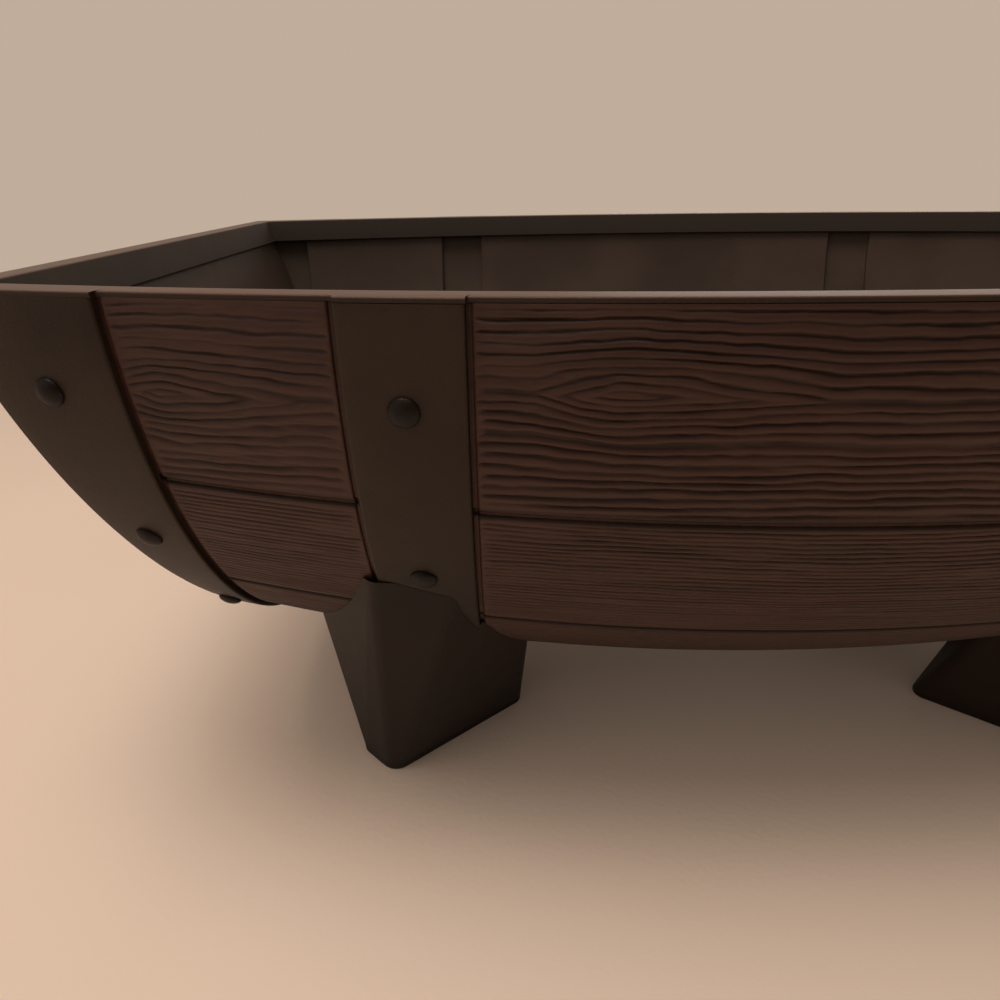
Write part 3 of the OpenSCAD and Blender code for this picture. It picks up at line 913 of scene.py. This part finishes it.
# Tub: a shell turned about the rim line, and a moulded rim that runs round its top.
tub = {
    "wall": 0.0032,
    "face": -0.0043,  # outside of the shell behind the boards
    "rib": -0.0005,  # outside of the shell behind the hoops
    "ribHalf": 0.0182,
    "channelHalf": 0.0150,
    "endRibStep": 0.0003,  # from the end hoop's inner edge to the rib behind it
    "endChannelX": 0.266,
    "skirt": -0.0063,  # inner side of the edge that frames an end panel
    "endWallX": 0.2955,
    "endInnerX": 0.2923,
    "wallShares": (0.75, 0.5, 0.25, 0.0),  # rings across an end wall
    "soften": 0.0007,
    "shellTop": 0.0009,  # the shell's cut edge is hidden in the rim
    "topRadius": 0.19,
    "turns": 144,
    "rounds": 8,  # enough for the section's x to settle
    "stepX": 0.006,
    "crease": 30.0,
}
rim = {
    "face": 0.0105,  # width of the flat top
    "collar": 0.014,  # height of the inner side
    "round": 0.00055,
    "bend": 5,
    "flats": (0.0040, 0.0070),
    "sink": 0.00003,
    "hidden": (-0.0020, -0.0059),  # height of the outer side under the hoops and under the boards
    "hiddenIn": 0.0060,
    "sidePoints": 101,
    "endPoints": 41,
    "hoopPair": 3e-5,  # half the distance between a hoop edge's two points
    "lipDepth": 0.0004,  # points above this are the lip's top, kept in the rim's lighter colour
}


def shellOutline():
    # one section of the shell as rows of (x at the rim, lean, height off the face, share of the radius);
    # it runs along the outside from left to right, round the end wall and back along the inside
    lean, soft = endLean, tub["soften"]
    outerLow, outerHigh = tub["face"], tub["rib"]
    innerLow, innerHigh = tub["face"] - tub["wall"], tub["rib"] - tub["wall"]

    def run(stops):
        # straight stretches get even steps, so that they follow the barrel's arc
        rows = []
        for before, after in zip(stops[:-1], stops[1:]):
            level = before[2] == after[2]
            count = max(1, int(ceil(abs(after[0] - before[0]) / tub["stepX"]))) if level else 1
            rows += [tuple(a + (b - a) * share for a, b in zip(before, after))
                     for share in np.arange(count) / count]
        return rows

    def step(x, slope, before, after, way):
        # a step with both of its corners taken off
        first, second = soft * (1 if after > before else -1), soft * (1 if before > after else -1)
        return [(x - way * soft, slope, before, 1.0), (x, slope, before + first, 1.0),
                (x, slope, after + second, 1.0), (x + way * soft, slope, after, 1.0)]

    half, channel = tub["ribHalf"], tub["channelHalf"]
    endRib, endX = endHoopX + tub["endRibStep"], halfLength
    wallX, innerX = tub["endWallX"], tub["endInnerX"]
    right = (step(hoopX - half, 0.0, outerLow, outerHigh, 1)
             + step(hoopX + half, 0.0, outerHigh, outerLow, 1)
             + step(endRib, hoopLean, outerLow, outerHigh, 1)
             + [(endX - soft, lean, outerHigh, 1.0), (endX, lean, outerHigh - soft, 1.0),
                (endX, lean, tub["skirt"] + soft, 1.0), (endX - soft, lean, tub["skirt"], 1.0),
                (wallX, lean, tub["skirt"], 1.0)]
             + [(wallX, lean, tub["skirt"], share) for share in tub["wallShares"]]
             + [(innerX, lean, innerHigh, share) for share in tub["wallShares"][::-1]]
             + [(innerX, lean, innerHigh - soft, 1.0), (innerX - soft, lean, innerHigh, 1.0)]
             + step(tub["endChannelX"], hoopLean, innerHigh, innerLow, -1)
             + step(hoopX + channel, 0.0, innerLow, innerHigh, -1)
             + step(hoopX - channel, 0.0, innerHigh, innerLow, -1))
    # the section meets the turning line where its share of the radius is zero
    split = next(i for i, row in enumerate(right) if row[3] == 0.0) + 1
    middle = (0.0, 0.0, innerLow, 1.0)
    toRight = run([(0.0, 0.0, outerLow, 1.0)] + right[:split]) + [right[split - 1]]
    rightHalf = np.array(toRight + run(right[split:] + [middle]))
    leftHalf = rightHalf[::-1] * np.array([-1.0, 1.0, 1.0, 1.0])
    return np.concatenate([rightHalf, [middle], leftHalf[:-1]])


def tubShell(material):
    rows = shellOutline()
    turn = asin(tub["shellTop"] / tub["topRadius"])
    angle = np.linspace(-pi / 2 + turn, pi / 2 - turn, tub["turns"] + 1)[:, None]
    atRim, lean, off, share = (np.broadcast_to(rows[:, i], (len(angle), len(rows))) for i in range(4))
    x = atRim + 0.0
    for _ in range(tub["rounds"]):
        # a leaning plane's x and the radius there depend on each other
        x = atRim - np.sign(atRim) * lean * faceRadius(x, off) * share * np.cos(angle)
    r = faceRadius(x, off) * share
    height = np.minimum(rimZ - r * np.cos(angle), rimZ - tub["shellTop"])
    points = np.stack([x, r * np.sin(angle), height], -1)
    piece = addPiece("tub_shell", *closedGrid(points), material, tub["crease"])
    drillDrains(piece)
    takePlace(piece, "tub_plastic", "tub")


def rimPath():
    # (which side, share along it) once round the rim: sides 0 to 3 are front, right, back and left.
    # the hoops' edges get a pair of points each
    edges = [side * edge for side in (-1, 1) for edge in (endHoopX, hoopX + hoopHalf, hoopX - hoopHalf)]
    pairs = [edge + gap for edge in edges for gap in (-rim["hoopPair"], rim["hoopPair"])]
    x = np.concatenate([np.linspace(-1, 1, rim["sidePoints"]) * halfLength, pairs])
    x = np.sort(x) / halfLength
    y = np.linspace(-1.0, 1.0, rim["endPoints"])
    return np.concatenate([np.stack([np.full_like(way, which), way], -1)[:-1]
                           for which, way in enumerate((x, y, -x, -y))])


def rimSection():
    # (distance in from the edge, depth, kind): kind 1 follows the hoops' faces and kind 2 hides under them
    size, face, collar = rim["round"], rim["face"], rim["collar"]
    bend = np.linspace(0.0, pi / 2, rim["bend"])
    inner = [(face - size * (1 - sin(t)), size * (1 - cos(t)), 0) for t in bend]
    outer = [(size * (1 - cos(t)), size * (1 - sin(t)), 1) for t in bend]
    return np.array([(flat, 0.0, 0) for flat in rim["flats"]] + inner
                    + [(face, collar - size, 0), (face - size, collar, 0), (0.0, collar, 2),
                       (0.0, barrel["flange"], 2), (0.0, barrel["flange"], 1)]
                    + outer)


def tubRim(material):
    section, path = rimSection(), rimPath()
    which, share = path[:, 0:1], path[:, 1:2]
    distance, depth, kind = (section[:, i][None, :] for i in range(3))
    nominal = np.abs(share) * halfLength
    underHoop = np.abs(nominal - hoopX) < hoopHalf
    underHoop = underHoop | (nominal > endHoopX) | (which % 2 == 1)
    proud = np.where(underHoop, hoopFace, 0.0)
    hidden = np.where(underHoop, *rim["hidden"])
    off = np.where(kind == 1, proud - distance - rim["sink"], np.where(kind == 2, hidden, -distance))
    inward = np.where(kind == 2, rim["hiddenIn"], distance)
    reachX = halfLength - inward - endLean * depth
    alongX = np.where(kind == 2, np.clip(share * halfLength, -reachX, reachX), share * reachX)
    x = np.where(which % 2 == 0, alongX, np.where(which == 1, reachX, -reachX))
    radius = np.sqrt(faceRadius(x, off) ** 2 - depth ** 2)
    y = np.where(which == 0, -radius, np.where(which == 2, radius, share * radius))
    points = np.stack([x, y, np.broadcast_to(rimZ - depth, x.shape)], -1)
    rows, columns = x.shape
    quads = gridQuads(rows + 1, columns, True) % (rows * columns)
    # lip values: 1 keeps the rim's lighter colour on the top, a half and 0 give painted shade on the outer
    # side and the collar
    lip = np.where(depth < rim["lipDepth"], 1.0, np.where(kind == 1, 0.5, 0.0))
    piece = addPiece("tub_rim", points.reshape(-1, 3), quads, (), material, tub["crease"],
                     {"lip": np.broadcast_to(lip, x.shape)})
    takePlace(piece, "tub_plastic")


tubShell(darkFinish("tub"))
tubRim(darkFinish("rim", "lip"))
print("tub ready")

# The foot screws keep their CAD mesh and take a better material.
screwLook = steelFinish()
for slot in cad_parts["foot_screws"].material_slots:
    slot.material = screwLook
print("screws dressed")

# Camera: the photograph's own viewpoint, found from the rim, hoop and groove lines.
camera = {
    "place": (-0.12248, -0.41164, 0.27537),
    "right": (0.99993, -0.004167, -0.011059),
    "down": (-0.0118, -0.4032, -0.915036),
    "ahead": (-0.000646, 0.915102, -0.403221),
    "lens": 26.71,
    "sensor": 36.0,
    "nearest": 0.01,
}
lensData = bpy.data.cameras.new("viewpoint")
lensData.lens, lensData.sensor_width = camera["lens"], camera["sensor"]
lensData.clip_start = camera["nearest"]
viewer = bpy.data.objects.new("viewpoint", lensData)
turned = Matrix((camera["right"], [-v for v in camera["down"]], [-v for v in camera["ahead"]])).transposed()
viewer.matrix_world = Matrix.Translation(Vector(camera["place"])) @ turned.to_4x4()
bpy.context.scene.collection.objects.link(viewer)
bpy.context.scene.camera = viewer

# Studio: a pale floor that runs out to a pale wall, a soft lamp overhead, weaker ones in front and behind.
studio = {
    "floorSize": 6.0,
    "floorPoints": 25,
    "floorColours": ((0.82, 0.645, 0.52, 1.0), (0.84, 0.67, 0.545, 1.0)),
    "floorFade": (0.7, 2.0),  # distances where the floor turns into the wall
    "darkFloor": (-0.80, -0.42),  # y where a shiny surface sees it go dark
    "wall": (0.53, 0.42, 0.33, 1.0),  # what the camera sees behind the planter
    "backdrop": (0.70, 0.545, 0.43, 1.0),  # what a shiny surface sees there
    "room": (0.07, 0.055, 0.045, 1.0),  # and what it sees in front of the planter
    "sky": (1.0, 0.88, 0.78, 1.0),
    "skyRight": (0.50, 0.43, 0.37, 1.0),
    "skyStrength": 0.54,
    "skyFade": (-0.2, 0.8),  # x of the directions where the sky turns weaker
    "backdropFade": (-0.35, 0.45),  # y of those where the room turns into the backdrop
    "floorCloud": (3.0, even, 2.0),
    "floorCloudFade": (0.3, 0.7),
    "floorRoughness": (0.6, 0.1),
    "floorGrain": 300.0,
    "floorBump": 0.0001,
    "lampTarget": (0.0, 0.0, 0.15),
    # name, place, size, power and colour
    "lamps": [
        ("overhead", (-0.35, -0.35, 1.60), (0.8, 0.6), 12.5, (1.0, 0.91, 0.82)),
        ("front", (-1.6, -1.3, 0.8), (1.4, 1.0), 3.4, (1.0, 0.92, 0.83)),
        ("back", (0.9, 2.1, 0.8), (1.4, 1.0), 3.6, (1.0, 0.92, 0.84)),
    ],
}


def addLamp(name, place, size, power, colour):
    data = bpy.data.lights.new(name, "AREA")
    data.shape, data.energy, data.color = "RECTANGLE", power, colour
    data.size, data.size_y = size
    lamp = bpy.data.objects.new(name, data)
    away = Vector(place) - Vector(studio["lampTarget"])
    turned = away.to_track_quat("Z", "Y").to_matrix().to_4x4()
    lamp.matrix_world = Matrix.Translation(Vector(place)) @ turned
    bpy.context.scene.collection.objects.link(lamp)


def makeFloor():
    f = Finish("floor_look")
    cloud = f.noise(*studio["floorCloud"])
    colour = f.blend(cloud.step(*studio["floorCloudFade"]), *studio["floorColours"])
    least, inCloud = studio["floorRoughness"]
    look = f.finish(colour, least + cloud * inCloud, f.noise(studio["floorGrain"]), studio["floorBump"])
    path = f.node("ShaderNodeLightPath").outputs
    shiny = f.value(path["Is Glossy Ray"])
    straight = f.value(path["Is Camera Ray"]).larger(shiny)
    away = f.value(f.node("ShaderNodeVectorMath", {"operation": "LENGTH"}, {0: f.spot()}).outputs["Value"])
    # a shiny surface sees the floor go dark in front, as in a room
    dark = (1.0 - f.axis("Y").step(*studio["darkFloor"])) * shiny
    glowColour = f.blend(shiny, studio["wall"], f.blend(dark, studio["backdrop"], studio["room"]))
    glow = f.node("ShaderNodeEmission", None, {"Color": glowColour, "Strength": 1.0})
    fade = (away.step(*studio["floorFade"]) * straight).larger(dark)
    both = f.node("ShaderNodeMixShader", None, {0: fade, 1: f.shader.outputs[0], 2: glow.outputs[0]})
    f.tree.links.new(both.outputs[0], f.tree.nodes["Material Output"].inputs["Surface"])
    count = studio["floorPoints"]
    span = np.linspace(-studio["floorSize"] / 2, studio["floorSize"] / 2, count)
    x, y = np.meshgrid(span, span, indexing="xy")
    points = np.stack([x, y, np.zeros_like(x)], -1).reshape(-1, 3)
    mesh = bpy.data.meshes.new("floor")
    mesh.from_pydata(points.tolist(), [], gridQuads(count, count).tolist())
    mesh.materials.append(look)
    floor = bpy.data.objects.new("floor", mesh)
    bpy.context.scene.collection.objects.link(floor)


def makeWorld():
    world = bpy.data.worlds.new("studio")
    bpy.context.scene.world = world
    world.use_nodes = True
    sky = NodeTree(world.node_tree)
    sky.tree.nodes.clear()
    direction = sky.node("ShaderNodeSeparateXYZ", None, {
        0: sky.node("ShaderNodeTexCoord").outputs["Generated"]}).outputs
    # the soft light is weaker from the right, as the photo's is
    fromRight = sky.value(direction["X"]).step(*studio["skyFade"])
    softColour = sky.blend(fromRight, studio["sky"], studio["skyRight"])
    soft = sky.node("ShaderNodeBackground", None, {
        "Color": softColour, "Strength": studio["skyStrength"]})
    fromBehind = sky.value(direction["Y"]).step(*studio["backdropFade"])
    mirrored = sky.blend(fromBehind, studio["room"], studio["backdrop"])
    path = sky.node("ShaderNodeLightPath").outputs
    seenColour = sky.blend(path["Is Camera Ray"], mirrored, studio["wall"])
    seen = sky.node("ShaderNodeBackground", None, {"Color": seenColour, "Strength": 1.0})
    straight = sky.value(path["Is Camera Ray"]).larger(sky.value(path["Is Glossy Ray"]))
    straight = straight.larger(sky.value(path["Is Transmission Ray"]))
    either = sky.node("ShaderNodeMixShader", None, {0: straight, 1: soft.outputs[0], 2: seen.outputs[0]})
    sky.node("ShaderNodeOutputWorld", None, {"Surface": either.outputs[0]})


for lamp in studio["lamps"]:
    addLamp(*lamp)
makeFloor()
makeWorld()
bpy.context.scene.view_settings.view_transform = "Standard"
print("studio ready")
